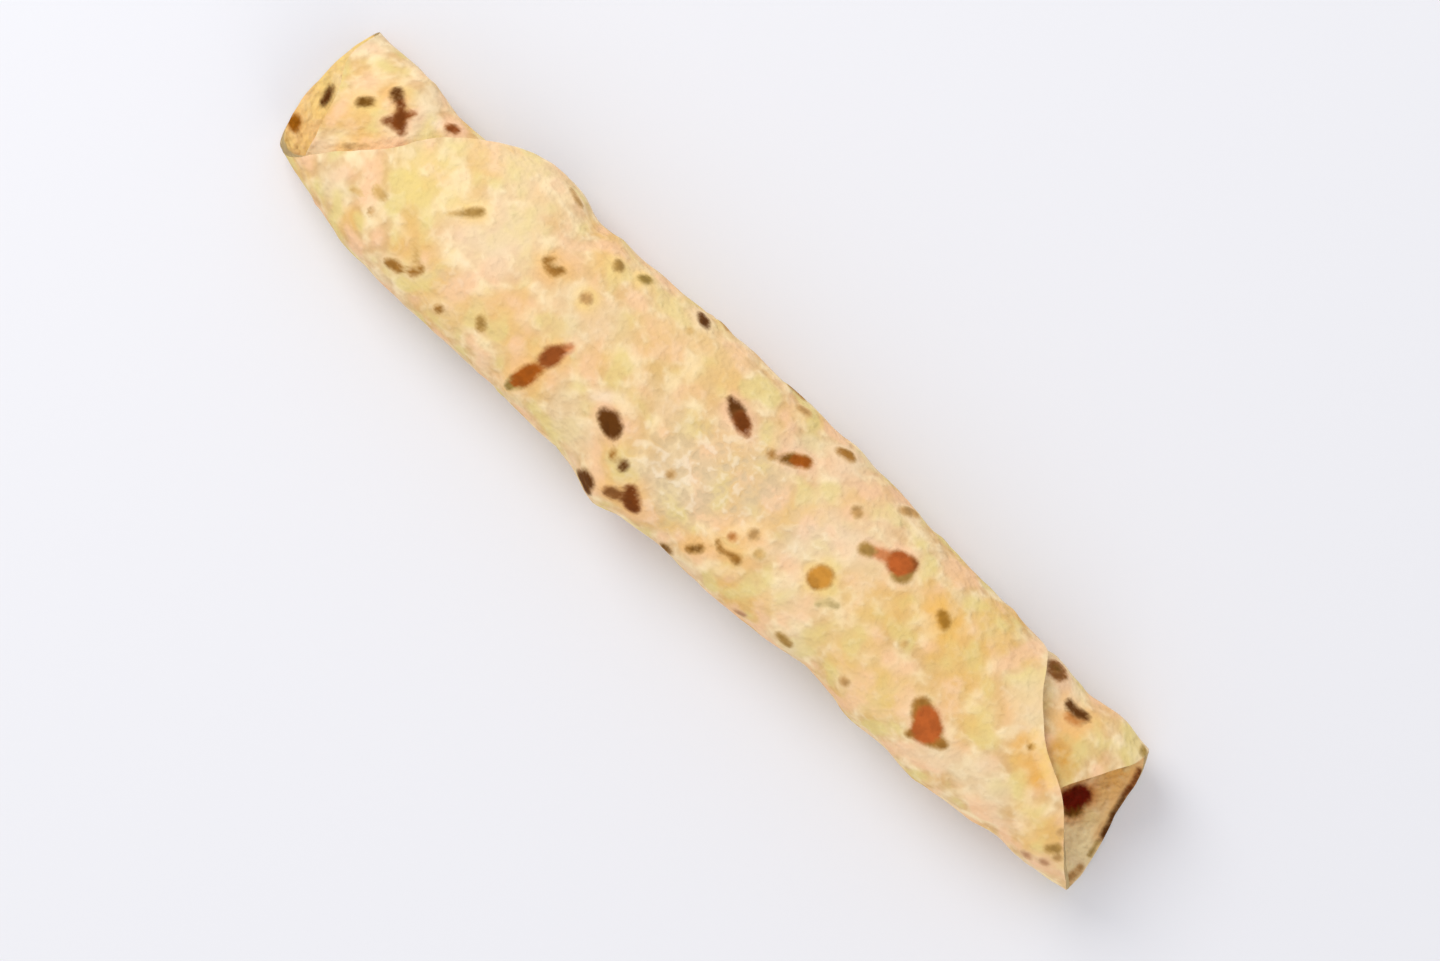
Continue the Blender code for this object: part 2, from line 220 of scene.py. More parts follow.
# Toasted marks: face, tone, halo, and the strokes' places on the flat bread with their radius, in mm
toast = {
    "tones": {                                  # the heart of a mark and its border
        "char": (paint(98, 54, 10), paint(140, 94, 42)),
        "umber": (paint(120, 60, 14), paint(174, 110, 56)),
        "russet": (paint(148, 76, 28), paint(190, 126, 68)),
        "ember": (paint(108, 20, 0), paint(150, 74, 20)),
        "bark": (paint(122, 80, 20), paint(186, 142, 76)),
        "cocoa": (paint(140, 88, 40), paint(190, 134, 78)),
        "honey": (paint(182, 128, 44), paint(220, 168, 84)),
        "hazel": (paint(176, 136, 70), paint(206, 166, 100)),
        "brown": (paint(166, 114, 46), paint(202, 156, 88)),
        "fawn": (paint(204, 158, 98), paint(220, 178, 118)),
        "olive": (paint(168, 136, 68), paint(210, 178, 112)),
        "ash": (paint(210, 184, 126), paint(222, 196, 138)),
        "brick": (paint(192, 98, 42), paint(184, 116, 54)),
        "sienna": (paint(206, 136, 70), paint(226, 166, 104)),
        "coral": (paint(212, 134, 82), paint(234, 176, 130)),
        "amber": (paint(166, 86, 18), paint(200, 140, 66)),
        "tawny": (paint(158, 94, 8), paint(206, 140, 56)),
        "gold": (paint(210, 146, 58), paint(190, 132, 48)),
        "mauve": (paint(204, 154, 112), paint(226, 186, 142)),
        "haze": (paint(218, 176, 108), paint(230, 194, 130)),
    },
    "halos": {                                  # colour, reach in mm and strength
        "pale": (paint(252, 220, 178), 1.2, 0.55),
        "yellow": (paint(250, 213, 134), 1.6, 0.75),
        "orange": (paint(246, 194, 124), 1.8, 0.75),
        "pink": (paint(250, 198, 160), 1.4, 0.65),
        "rust": (paint(214, 136, 66), 1.3, 0.7),
        "glow": (paint(242, 188, 96), 2.6, 0.95),
        "none": (paint(240, 210, 160), 1.0, 0.0),
    },
    "marks": (
        ("inner", "char", "none", ((-109.9, 16.2, 0.85), (-109.2, 18.9, 0.95))),
        ("inner", "tawny", "orange", ((-110.8, 26.8, 1.8),)),
        ("outer", "bark", "yellow", ((-101.4, -20.1, 1.2), (-100.5, -19.6, 1.3))),
        ("outer", "umber", "orange", ((-96.9, -15.7, 0.9), (-94.0, -17.9, 1.0))),
        ("outer", "char", "orange", ((-97.9, -15.1, 1.1), (-97.2, -15.6, 1.2))),
        ("outer", "russet", "pink", ((-92.2, -16.6, 0.5), (-93.5, -18.2, 1.0))),
        ("outer", "umber", "pink", ((-93.5, -19.4, 1.2), (-95.3, -21.2, 0.8))),
        ("outer", "umber", "pink", ((-94.0, -18.2, 1.2), (-93.2, -20.0, 1.7), (-91.4, -21.0, 0.9))),
        ("outer", "russet", "pink", ((-85.3, -14.1, 0.9), (-84.2, -13.6, 1.1))),
        # painted shadow with some toast: a fawn line on the second layer under the flap's lifted edge at
        # the -X end
        ("outer", "fawn", "orange", ((-98.2, -29.8, 0.45), (-94.6, -27.4, 0.45))),
        ("outer", "fawn", "none", ((-84.7, 48.6, 0.6),)),
        ("outer", "haze", "none", ((-90.8, 48, 0.5), (-88.5, 49, 0.4))),
        ("outer", "haze", "none", ((-86.7, 51.9, 1.0), (-84.8, 52.2, 0.8))),
        ("outer", "haze", "none", ((-72.9, 59.7, 0.3), (-71.5, 61.3, 0.5))),
        ("outer", "hazel", "yellow", ((-70.4, 62.5, 0.85), (-68.5, 64.4, 0.95))),
        ("outer", "brown", "pale", ((-75.5, 44.2, 0.9), (-74.0, 44.8, 1.3), (-73.0, 45.2, 0.9))),
        ("outer", "brown", "pale", ((-70.5, 46.6, 1.0), (-69.8, 48.2, 1.0))),
        ("outer", "haze", "none", ((-70.8, 48, 0.7), (-72.5, 50.0, 0.9), (-74.1, 50.9, 0.7))),
        ("outer", "fawn", "none", ((-58.8, 82.2, 0.6), (-57, 81.4, 0.8), (-55.6, 81.2, 0.6))),
        ("outer", "brown", "none", ((-61.7, 45.0, 0.95),)),
        ("outer", "hazel", "none", ((-53.9, 49.4, 1.0), (-53.0, 48.4, 1.1))),
        ("outer", "brown", "orange", (
            (-51.6, 68.2, 0.5), (-52.3, 66.6, 0.8), (-51.1, 65.7, 0.75), (-49.7, 65.9, 0.9),
            (-48.7, 67.4, 0.75))),
        ("outer", "hazel", "yellow", ((-41.4, 76.1, 1.3),)),
        ("outer", "olive", "yellow", ((-36.2, 78.0, 1.0), (-35.3, 79.0, 1.2))),
        ("outer", "fawn", "yellow", ((-41.4, 66.9, 1.25),)),
        ("outer", "olive", "orange", ((-41.1, 42.3, 0.7), (-40.6, 45.0, 1.6))),
        ("outer", "amber", "orange", ((-40.5, 45.4, 1.5), (-39.8, 47.7, 2.0), (-39.0, 50.6, 1.3))),
        ("outer", "coral", "pink", ((-37.7, 56.4, 1.2), (-37.0, 58.2, 0.7))),
        ("outer", "russet", "orange", ((-39.0, 52.6, 1.5), (-38.5, 54.4, 2.0), (-38.0, 55.9, 1.4))),
        ("outer", "char", "pink", (
            (-22.8, 53.6, 1.6), (-21.4, 53.7, 2.2), (-20.2, 53.3, 2.0), (-19.3, 52.8, 1.3))),
        ("outer", "brown", "none", ((-16.5, 50.2, 0.85),)),
        ("outer", "char", "none", ((-13.4, 50.3, 1.0),)),
        ("outer", "char", "none", ((-17.9, 40.1, 1.6), (-16.5, 40.4, 1.9))),
        ("outer", "char", "none", ((-17.5, 42.0, 1.3), (-16.3, 42.3, 1.5))),
        ("outer", "cocoa", "orange", ((-11.9, 44.6, 1.3), (-10.5, 44.7, 1.4))),
        ("outer", "umber", "orange", ((-9.0, 47.2, 1.2), (-8.0, 45.7, 1.7), (-6.7, 44.1, 1.7))),
        ("outer", "fawn", "none", ((-5.3, 54.4, 0.9),)),
        ("outer", "char", "pink", ((-6.7, 73.2, 0.8), (-5.0, 72.6, 1.5), (-3.5, 72.1, 1.6))),
        ("outer", "umber", "pink", ((-2.9, 71.8, 1.6), (-1.3, 71.1, 1.5), (0.3, 70.4, 0.6))),
        ("outer", "brown", "none", ((6.6, 70.5, 0.95),)),
        ("outer", "char", "pale", ((-22.5, 82.9, 0.9), (-21.5, 82.2, 1.3), (-20.5, 81.6, 0.9))),
        ("outer", "fawn", "none", ((-18.6, 86.8, 0.7), (-16.8, 86.2, 0.9))),
        ("outer", "haze", "none", ((-22.1, 77.7, 0.8),)),
        ("outer", "fawn", "none", ((4.6, 82.4, 0.9), (6.2, 82.6, 0.9))),
        ("outer", "bark", "pink", ((8.9, 71.5, 0.9), (10.6, 72.9, 1.4))),
        ("outer", "amber", "pink", ((11.0, 73.1, 1.4), (12.6, 74.1, 1.3))),
        ("outer", "brown", "pale", ((16.4, 80.9, 1.1), (18.1, 81.4, 1.4))),
        ("outer", "fawn", "pink", ((26.9, 72.8, 1.15),)),
        ("outer", "fawn", "pale", ((33.4, 79.9, 1.0), (35.4, 82.3, 1.3))),
        ("outer", "brown", "none", ((0.3, 87, 0.9), (3.2, 86.6, 0.9))),
        ("outer", "bark", "none", ((3.8, 39.9, 1.2), (4.4, 40.3, 1.2))),
        ("outer", "brown", "orange", ((7.4, 45.0, 0.9), (8.9, 47.2, 0.9))),
        ("outer", "bark", "none", ((8.0, 45.9, 0.8), (8.6, 46.7, 0.8))),
        ("outer", "brown", "orange", (
            (10.6, 50.9, 0.6), (12.0, 49.9, 0.6), (13.6, 50.3, 0.6), (15.6, 50.7, 1.15))),
        ("outer", "sienna", "orange", ((12.1, 53.4, 0.9),)),
        ("outer", "fawn", "orange", ((14.9, 56.5, 1.05),)),
        ("outer", "haze", "none", ((18.3, 54.3, 1.1),)),
        ("outer", "gold", "yellow", ((30.3, 58.4, 2.4),)),
        ("outer", "ash", "none", ((33.5, 54.2, 0.6), (34.8, 55.6, 0.7), (36.4, 56, 0.6))),
        ("outer", "coral", "pink", ((33.6, 68.5, 0.9), (37.2, 69.6, 1.4))),
        ("outer", "hazel", "none", ((33.0, 68.2, 1.4), (33.9, 68.4, 1.2))),
        ("outer", "hazel", "pale", ((41.4, 69.3, 2.3),)),
        ("outer", "russet", "pink", ((41.3, 71.0, 1.9),)),
        ("outer", "brick", "pink", ((39.7, 70.2, 2.4), (40.3, 70.1, 2.4))),
        ("outer", "honey", "glow", ((53.1, 68.2, 1.1), (54.4, 67.4, 1.3))),
        ("outer", "haze", "none", ((51.5, 59, 0.9),)),
        ("outer", "mauve", "none", ((22.9, 40.2, 0.9), (24.1, 40.8, 0.9))),
        ("outer", "hazel", "none", ((32.4, 43.4, 0.9), (34.6, 42.8, 1.0))),
        ("outer", "fawn", "pale", ((48.1, 45.3, 1.15),)),
        ("outer", "brown", "pale", ((64.5, 47.2, 0.8), (66.4, 49.6, 1.7))),
        ("outer", "brown", "pale", ((67.4, 50.0, 2.1), (70.7, 50.4, 1.0))),
        ("outer", "brown", "pale", ((62.5, 52.9, 1.9), (63.9, 52.0, 2.3))),
        ("outer", "brick", "pink", ((64.9, 51.9, 2.6), (66.3, 50.6, 3.1))),
        ("outer", "cocoa", "none", (
            (79.6, -16.6, 1.0), (78.8, -15.2, 0.9), (77.1, -15.2, 0.9), (76.2, -16.6, 1.0),
            (77.1, -18.1, 1.1), (78.8, -18.1, 1.1), (79.6, -16.6, 1.0))),
        ("outer", "bark", "none", ((77.8, -16.5, 1.0),)),
        ("outer", "sienna", "orange", ((85.5, -22.2, 1.0), (87.9, -21.4, 1.0))),
        ("outer", "char", "orange", ((84.2, -20.3, 1.0), (88.3, -19.5, 1.15))),
        ("outer", "honey", "none", ((83.8, 61.0, 0.6),)),
        ("inner", "bark", "rust", ((101.1, 15.8, 1.9),)),
        ("inner", "ember", "rust", ((99.5, 14.3, 2.4), (100.2, 12.7, 2.4))),
        ("outer", "olive", "none", ((101.9, -14.6, 0.9), (101.6, -13.5, 0.9))),
        ("outer", "hazel", "none", ((100.6, 46.8, 1.0), (101.5, 47.6, 1.1))),
        ("outer", "fawn", "none", ((103.2, 45.9, 0.8),)),
        ("outer", "mauve", "none", ((98.6, 42.0, 1.2),)),
        ("outer", "mauve", "none", ((102, 43.3, 1.1),)),
        ("outer", "fawn", "none", ((99.8, 50.6, 0.7),)),
    ),
    # the scorched edge at the +X end, with distances from the rim in place of u
    "rimMarks": (
        ("inner", "umber", "orange", ((0.4, 0.5, 0.65), (0.5, 4, 0.65), (0.4, 8, 0.6))),
        ("inner", "char", "orange", ((0.4, 8, 0.6), (0.3, 12, 0.65), (0.35, 16.6, 0.65))),
        ("inner", "olive", "none", ((0.7, 18, 0.4), (0.8, 21.5, 0.4))),
        ("inner", "fawn", "none", ((1.0, 24.5, 0.5), (1.2, 27, 0.8), (1.4, 30.5, 0.7))),
    ),
    # depths inside a mark, in mm
    "heartFrom": (-0.3, 0.4),                   # where its border turns into its heart
    "coverFrom": (-0.3, 0.3),                   # where it covers the marks before it
    "fieldStart": -30.0,                        # before any mark is made
    "fieldRange": (-8, 4),                      # what the material is given
    "bare": (paint(160, 104, 50), paint(255, 226, 190)),        # tone and halo far from every mark
}

# Marks scattered over the faces that lie out of sight, in mm
hidden = {
    "count": 140,
    "seed": 11,
    "tones": ("umber", "brown", "hazel", "amber", "brick", "fawn", "char", "gold"),
    "alongBread": (-100, 100),
    "acrossBread": (-104, 108),
    "withinRadius": 100,
    "radius": (0.6, 1.8),                       # smallest, and what is added at most
    "longest": 1.6,                             # length of a stroke over its radius
    "taper": 0.8,
    # where the bread shows, and its marks are listed: face, first and last v, and least |u|
    "seen": (("outer", 34, 88, 0), ("outer", -26, 36, 74), ("inner", 4, 34, 86)),
}


def strokeDistance(u, v, stroke, rounded=False):
    # how far inside the stroke a place lies, in mm, and less than 0 outside it
    best = np.full(len(u), -farAway)
    ends = list(zip(stroke[:-1], stroke[1:])) or [(stroke[0], stroke[0])]
    for (u0, v0, r0), (u1, v1, r1) in ends:
        du, dv = u1 - u0, v1 - v0
        length = du * du + dv * dv
        t = np.clip(((u - u0) * du + (v - v0) * dv) / length, 0, 1) if length else np.zeros(len(u))
        radius = r0 + (r1 - r0) * t
        inside = radius - np.hypot(u - u0 - t * du, v - v0 - t * dv)
        best = np.maximum(best, inside - inside ** 2 / (2 * radius) if rounded else inside)
    return best


def scatterHiddenMarks():
    random = np.random.default_rng(hidden["seed"])
    smallest, more = hidden["radius"]
    marks = []
    while len(marks) < hidden["count"]:
        u, v = random.uniform(*hidden["alongBread"]), random.uniform(*hidden["acrossBread"])
        face = "outer" if random.random() < 0.5 else "inner"
        radius = smallest + more * random.random() ** 2
        tone = hidden["tones"][random.integers(len(hidden["tones"]))]
        seen = any(
            face == seenFace and start < v < end and abs(u) > nearest
            for seenFace, start, end, nearest in hidden["seen"])
        if u * u + v * v < hidden["withinRadius"] ** 2 and not seen:
            turned = random.uniform(0, math.pi)
            reach = radius * random.uniform(0, hidden["longest"])
            far = u + reach * math.cos(turned), v + reach * math.sin(turned), radius * hidden["taper"]
            marks.append((face, tone, "pale", ((u, v, radius), far)))
    return marks


relief = {
    "outerBlisters": (760, 1.0, 3.0, 0.34, 21),     # count, smallest and largest radius, height, seed
    "innerBlisters": (260, 1.2, 3.0, 0.14, 22),
    "blisterField": (112, 110),                 # half sizes of the field that they are scattered over
    "blisterStretch": (0.7, 1.5),
    "blisterHeights": (0.3, 1.0),               # shares of the height given above
    "blisterCore": 0.6,                         # share of the radius
    "blisterSlope": 1.4,
    "faceFrom": (0, 0.9),                       # side of the bread over which the relief sets in
    # soft ripples: height and length in mm, and seed
    "outerRipples": ((0.16, 4.6, 31), (0.10, 2.3, 32)),
    "innerRipples": ((0.06, 4, 33),),
    "swellings": ((0.35, 16, 41), (0.22, 7, 42)),
    "swellingRadius": 14,                       # turns the angle round the roll into a length, in mm
    "swellingFrom": (2 * mm, 9 * mm),           # height over which the swellings set in
    "markDome": 0.28,                           # how far a toasted spot stands proud, in mm
    "markDomeFrom": (-2.2, 0.6),
    # where nothing lies on the bread, so that it blisters freely: v, and |u| and v near the two ends
    "freeFrom": (18, 30),
    "freeEnds": (76, 84),
    "freeEndsFrom": (-60, -40),
    "coveredShare": 0.35,                       # how much of the relief is left where a layer lies on it
    "standingFrom": (0.2 * mm, 3 * mm),         # height over which downward relief sets in
    # creases of the outer face: depth and width in mm, and places on the flat bread
    "creases": (
        (0.45, 0.9, ((83, 61.5, 0), (87, 59, 0), (92, 56, 0))),
        (-0.30, 0.9, ((85, 63, 0), (89, 60.5, 0))),
        (0.25, 0.7, ((95, -22, 0), (98, -19.5, 0), (101, -18.5, 0))),
        (0.22, 0.7, ((97, -16, 0), (101, -14, 0))),
        (0.25, 0.8, ((-106, -28, 0), (-101, -36, 0))),
    ),
    "sideFrom": (0.2, 0.95),                    # how squarely a place faces its side
    # place along the roll, side (-1 is -Y), move outwards and spread, in mm
    "sideBumps": (
        (-84, -1, 0.6, 9), (-66, -1, 0.6, 6), (-25, -1, -0.5, 4), (-12.5, -1, 2.0, 4.5),
        (4, -1, -0.7, 6), (42, -1, -1.0, 6), (55, -1, 0.9, 5), (71, -1, 0.6, 5),
        (93, -1, -0.5, 4), (99, -1, 0.5, 4),
        (-107, 1, -1.2, 6), (-84, 1, -0.7, 5), (-50, 1, -1.0, 4), (-42, 1, 0.4, 4), (-34, 1, 0.5, 4),
        (0, 1, -0.5, 9), (14, 1, -0.7, 4), (24, 1, -0.5, 5), (77, 1, 1.0, 4), (88, 1, -1.2, 5),
    ),
}


def scatterBlisters(u, v, count, smallest, largest, height, seed):
    random = np.random.default_rng(seed)
    halfLong, halfWide = relief["blisterField"]
    raised = np.zeros(len(u))
    for _ in range(count):
        u0, v0 = random.uniform(-halfLong, halfLong), random.uniform(-halfWide, halfWide)
        radius = random.uniform(smallest, largest)
        stretch, turned = random.uniform(*relief["blisterStretch"]), random.uniform(0, math.pi)
        tall = height * random.uniform(*relief["blisterHeights"])
        near = np.nonzero((np.abs(u - u0) < 3 * radius) & (np.abs(v - v0) < 3 * radius))[0]
        du, dv = u[near] - u0, v[near] - v0
        along = du * math.cos(turned) + dv * math.sin(turned)
        side = dv * math.cos(turned) - du * math.sin(turned)
        away = (along / stretch) ** 2 + (side * stretch) ** 2
        raised[near] = np.maximum(raised[near], tall * np.exp(
            -away / (relief["blisterCore"] * radius) ** 2 / relief["blisterSlope"]))
    return raised


def addRipples(height, x, y, ripples):
    for rise, length, seed in ripples:
        height = height + rise * cloud(x, y, length * mm, seed)
    return height


def placeRows(share):
    # v of the rows, which lie closer where the bread shows on the outside
    everywhere, onTwo, outside = bread["rowDensity"]
    fine = np.linspace(bread["innerEnd"], bread["looseEnd"], bread["fineSteps"])
    density = everywhere + onTwo * smoothStep(*bread["secondLayerFrom"], fine)
    density = density + outside * smoothStep(*bread["outsideFrom"], fine) * smoothStep(
        *bread["outsideTo"], fine)
    passed = np.cumsum(density) / density.sum()
    return np.interp(share, (passed - passed[0]) / (passed[-1] - passed[0]), fine)


def placeColumns(share):
    # places between the closed end (-1) and the open end (1), which lie closer near the rim
    fine = np.linspace(-1, 1, bread["fineSteps"])
    passed = np.cumsum(1 + bread["rimColumns"] * smoothStep(*bread["rimColumnsFrom"], np.abs(fine)))
    return np.interp(share, (2 * passed - passed[0] - passed[-1]) / (passed[-1] - passed[0]), fine)


def makeSheet():
    sheet = bmesh.new()
    bmesh.ops.create_grid(
        sheet, x_segments=bread["cellsAlong"], y_segments=bread["cellsAcross"], size=1)
    square = np.array([vertex.co for vertex in sheet.verts])
    v, along = placeRows((square[:, 1] + 1) / 2), placeColumns(square[:, 0])
    openRim, closedRim = halfLength(v, bread["openEndRim"]), halfLength(v, bread["closedEndRim"])
    u = along * np.where(along > 0, openRim, closedRim)
    rimDistance = np.minimum(openRim - u, closedRim + u)
    wavy = sum(
        height * cloud(v, np.sign(u) * apart, length, seed)
        for height, length, apart, seed in bread["rimWaves"])
    u = u + np.sign(u) * wavy * smoothStep(*bread["wavesFrom"], np.abs(along))
    places = wind(u, v)
    for vertex, place in zip(sheet.verts, places):
        vertex.co = place
    mesh = bpy.data.meshes.new("chapatiBread")
    sheet.to_mesh(mesh)
    sheet.free()
    flat = mesh.attributes.new("flatPlace", "FLOAT_VECTOR", "POINT")
    flat.data.foreach_set("vector", np.column_stack((u, v, rimDistance)).astype(np.float32).ravel())
    return mesh


def thicken(mesh):
    chapati = bpy.data.objects.new("chapatiBread", mesh)
    bpy.context.scene.collection.objects.link(chapati)
    wall = chapati.modifiers.new("thickness", "SOLIDIFY")
    wall.thickness = bread["thickness"]
    wall.offset = 0
    wall.use_even_offset = True
    rim = chapati.modifiers.new("rimRounding", "BEVEL")
    rim.width = bread["rimRounding"]
    rim.segments = 2
    rim.limit_method = "ANGLE"
    rim.angle_limit = math.radians(bread["roundedFrom"])
    bpy.context.view_layer.update()
    shaped = chapati.evaluated_get(bpy.context.evaluated_depsgraph_get())
    solid = bpy.data.meshes.new_from_object(shaped)
    chapati.modifiers.clear()
    chapati.data = solid
    solid.name = "chapatiBread"
    bpy.data.meshes.remove(mesh)
    return chapati


def readVectors(source, name):
    values = np.empty(len(source) * 3, np.float32)
    source.foreach_get(name, values)
    return values.reshape(-1, 3).astype(float)


def writeValues(mesh, name, values):
    values = np.asarray(values, np.float32)
    if values.ndim == 1:
        mesh.attributes.new(name, "FLOAT", "POINT").data.foreach_set("value", values)
    else:
        mesh.attributes.new(name, "FLOAT_COLOR", "POINT").data.foreach_set("color", values.ravel())


def addToast(mesh, u, v, side, rimDistance):
    field = np.full(len(u), toast["fieldStart"])
    colour, halo = (np.tile(part, (len(u), 1)) for part in toast["bare"])
    haloAmount = np.zeros(len(u))
    fromOpenRim = np.where(u > 0, rimDistance, farAway)
    marks = [(u,) + mark for mark in toast["marks"] + tuple(scatterHiddenMarks())]
    marks += [(fromOpenRim,) + mark for mark in toast["rimMarks"]]
    for across, face, tone, haloName, stroke in marks:
        onFace = side > 0 if face == "outer" else side < 0
        inside = np.where(onFace, strokeDistance(across, v, stroke, True), -farAway)
        covers = smoothStep(*toast["coverFrom"], inside)
        covers = np.maximum(covers, (inside > field) * (field < 0))[:, None]
        heart, border = (np.array(part) for part in toast["tones"][tone])
        share = smoothStep(*toast["heartFrom"], inside)[:, None]
        colour = colour * (1 - covers) + (border * (1 - share) + heart * share) * covers
        field = np.maximum(field, inside)
        haloColour, reach, strength = toast["halos"][haloName]
        away = np.maximum(-strokeDistance(across, v, stroke), 0)
        amount = onFace * strength * np.exp(-(away / reach) ** 2)
        takes = (amount > haloAmount)[:, None]
        halo = np.where(takes, haloColour, halo)
        haloAmount = np.maximum(haloAmount, amount)
    writeValues(mesh, "toastField", np.clip(field, *toast["fieldRange"]))
    writeValues(mesh, "toastColour", colour)
    writeValues(mesh, "toastHalo", halo)
    writeValues(mesh, "haloAmount", haloAmount)
    return field


def findSide(places, u, v):
    # the middle of the bread at each place, the way out of it, and the place's own side of it,
    # from the inner face (-1) to the outer face (1)
    middle = wind(u, v)
    step = 0.2 * mm
    alongU = wind(u + step, v) - wind(u - step, v)
    alongV = wind(u, v + step) - wind(u, v - step)
    outward = np.cross(alongV, alongU)
    outward /= np.linalg.norm(outward, axis=1)[:, None]
    if outward[middle[:, 2].argmax(), 2] < 0:
        outward = -outward
    side = np.einsum("ij,ij->i", places - middle, outward) / (bread["thickness"] / 2)
    return middle, outward, np.clip(side, -1, 1)


def raiseFaces(u, v, side, field):
    # how far the relief lifts the outer face and drops the inner one, in mm
    uMm, vMm = u / mm, v / mm
    nearEnds = smoothStep(*relief["freeEnds"], np.abs(uMm)) * smoothStep(*relief["freeEndsFrom"], vMm)
    free = np.maximum(smoothStep(*relief["freeFrom"], vMm), nearEnds)
    outer = scatterBlisters(uMm, vMm, *relief["outerBlisters"])
    outer = addRipples(outer, u, v, relief["outerRipples"])
    outer = outer + relief["markDome"] * smoothStep(*relief["markDomeFrom"], field)
    for depth, width, stroke in relief["creases"]:
        outer = outer - depth * np.exp(-(strokeDistance(uMm, vMm, stroke) / width) ** 2)
    inner = addRipples(scatterBlisters(uMm, vMm, *relief["innerBlisters"]), u, v, relief["innerRipples"])
    covered = relief["coveredShare"]
    lift = np.where(side > 0, outer * (covered + (1 - covered) * free), 0)
    drop = np.where(side < 0, -inner, 0)
    return lift * smoothStep(*relief["faceFrom"], side), drop * smoothStep(*relief["faceFrom"], -side)


def swellLayers(middle):
    # soft dents and swellings that all the layers share
    centre = winding["widestAt"] * throughSections(middle[:, 0], 4)
    angle = np.arctan2(middle[:, 2] - centre, middle[:, 1])
    swell = addRipples(0, middle[:, 0], angle * relief["swellingRadius"] * mm, relief["swellings"])
    for place, toSide, move, spread in relief["sideBumps"]:
        facing = smoothStep(*relief["sideFrom"], np.cos(angle) * toSide)
        swell = swell + move * facing * np.exp(-((middle[:, 0] / mm - place) / spread) ** 2)
    swell = swell * smoothStep(*relief["swellingFrom"], middle[:, 2])
    radial = np.column_stack((angle * 0, np.cos(angle), np.sin(angle)))
    return radial * (swell * mm)[:, None]


def sculpt(chapati):
    mesh = chapati.data
    flat = readVectors(mesh.attributes["flatPlace"].data, "vector")
    places = readVectors(mesh.vertices, "co")
    u, v, rimDistance = flat.T.copy()
    middle, outward, side = findSide(places, u, v)
    uMm, vMm = u / mm, v / mm

    field = addToast(mesh, uMm, vMm, side, rimDistance / mm)
    lift, drop = raiseFaces(u, v, side, field)
    # nothing goes below the surface that the roll lies on
    standing = smoothStep(*relief["standingFrom"], places[:, 2])
    lift = np.where(outward[:, 2] < 0, lift * standing, lift)
    drawIn, drawFrom = bread["rimThinning"]
    drawIn = drawIn * smoothStep(drawFrom * mm, 0, rimDistance) * side
    places = places + outward * ((lift + drop - drawIn) * mm)[:, None]
    places = places + swellLayers(middle)
    places[:, 2] -= places[:, 2].min()
    mesh.vertices.foreach_set("co", places.astype(np.float32).ravel())
    mesh.update()

    flat[:, 2] = side * bread["thickness"] / 2
    mesh.attributes["flatPlace"].data.foreach_set("vector", flat.astype(np.float32).ravel())
    writeValues(mesh, "sideOfBread", side)
    return uMm, vMm, side


